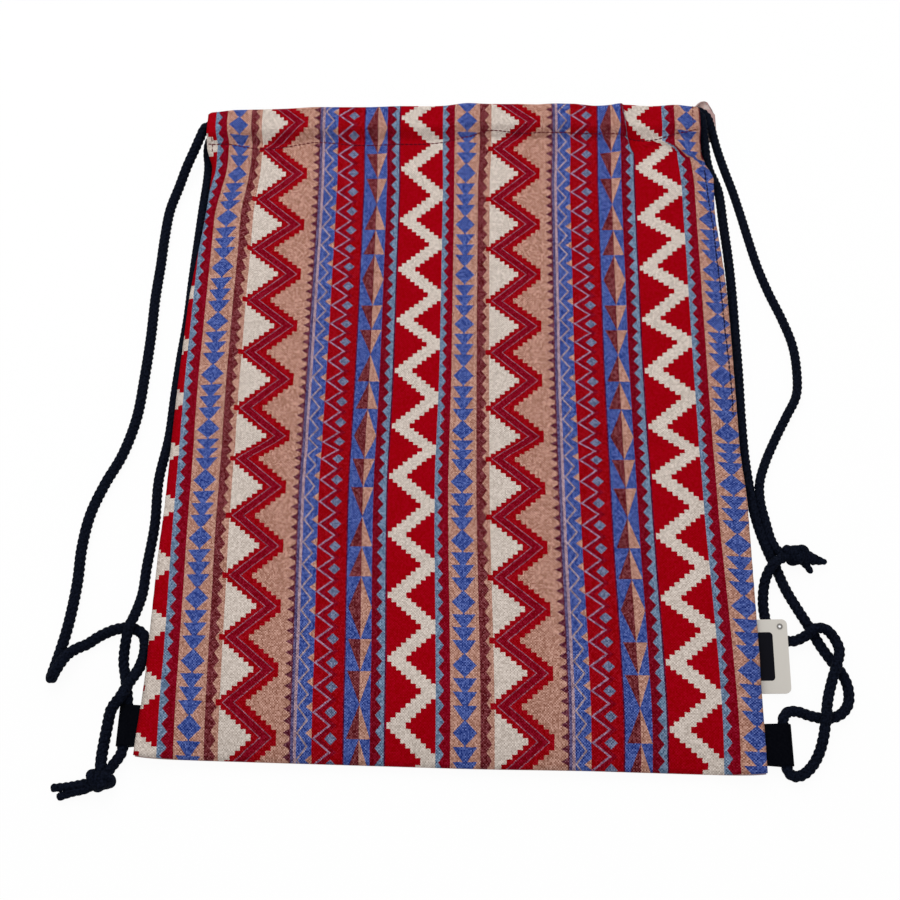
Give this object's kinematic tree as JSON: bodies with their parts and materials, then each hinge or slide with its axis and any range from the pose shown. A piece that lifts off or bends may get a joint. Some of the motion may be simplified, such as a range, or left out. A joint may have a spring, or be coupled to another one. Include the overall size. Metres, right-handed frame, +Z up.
{
  "type": "drawstring backpack",
  "caption": "Flat drawstring backpack of patterned canvas with a cord casing at the mouth, two corded shoulder loops, webbing tabs at the bottom corners and a plain hang tag.",
  "frame": {"origin": "under the middle of the back panel, on the surface that the bag lies on", "axes": "+X across the bag to its right edge, +Y up the bag to its mouth, +Z up through the front panel"},
  "size_m": [0.4445, 0.4573, 0.0218],
  "materials": {
    "canvas": "printed plain-weave cotton canvas, matte",
    "webbing": "black ribbed webbing, matte",
    "cord": "twisted black cord, matte",
    "card": "coated white card, smooth"
  },
  "bodies": {
    "root": {"front_panel": "canvas", "back_panel": "canvas", "left_tab": "webbing", "right_tab": "webbing", "left_cord_run": "cord", "left_cord_outer": "cord", "left_cord_inner": "cord", "left_knot": "cord", "right_cord_run": "cord", "right_cord_outer": "cord", "right_cord_inner": "cord", "right_knot": "cord", "hang_tag": "card"}
  },
  "joints": []
}
